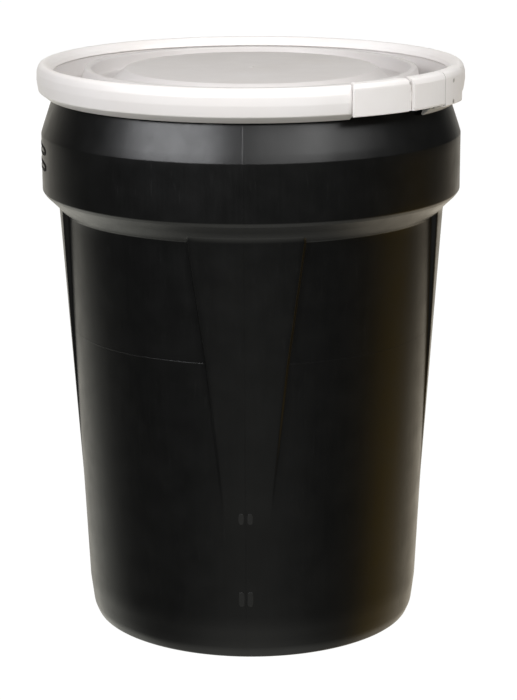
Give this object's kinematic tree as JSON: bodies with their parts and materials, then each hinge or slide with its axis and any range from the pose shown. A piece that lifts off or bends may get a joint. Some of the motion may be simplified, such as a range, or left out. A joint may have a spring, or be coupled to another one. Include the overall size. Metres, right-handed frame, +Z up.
{
  "type": "plastic open head drum",
  "caption": "Tapered plastic open head drum with V-shaped nesting panels, a recessed lift-off lid and a split closing ring with a lever latch.",
  "frame": {"origin": "on the floor, at the centre of the drum's foot", "axes": "+Z up along the drum's axis, -Y towards the front nesting panel; the lever latch is at the front right, between -Y and +X"},
  "size_m": [0.54, 0.54, 0.725],
  "materials": {
    "body_hdpe": "satin",
    "lid_hdpe": "satin",
    "ring_hdpe": "satin",
    "rubber": "matte",
    "steel": "plated"
  },
  "bodies": {
    "drum": {"drum_body": "body_hdpe"},
    "lid": {"lid": "lid_hdpe", "lid_gasket": "rubber"},
    "ring": {"closure_ring": "ring_hdpe", "hinge_block": "ring_hdpe", "anchor_bracket": "ring_hdpe", "block_rivet_upper": "steel", "block_rivet_lower": "steel", "anchor_rivet_upper": "steel", "anchor_rivet_lower": "steel", "lever_pivot_pin": "steel"},
    "lever": {"lever": "ring_hdpe", "link_pin": "steel"},
    "link": {"link": "ring_hdpe", "hook_pin": "steel"}
  },
  "joints": [
    {"name": "lid_lift", "type": "slide", "parent": "drum", "child": "lid", "axis": [0, 0, 1], "range_m": [0, 0.3]},
    {"name": "ring_lift", "type": "slide", "parent": "lid", "child": "ring", "axis": [0, 0, 1], "range_m": [0, 0.12], "deforming": ["closure_ring"]},
    {"name": "lever_swing", "type": "hinge", "parent": "ring", "child": "lever", "pos_m": [0.20527, -0.17042, 0.703], "axis": [0, 0, 1], "range_deg": [0, 110]},
    {"name": "link_swing", "type": "hinge", "parent": "lever", "child": "link", "pos_m": [0.19148, -0.19148, 0.7033], "axis": [0, 0, 1], "range_deg": [-110, 0]}
  ],
  "couplings": [
    {"joint": "link_swing", "follows": "lever_swing", "ratio": -1}
  ]
}
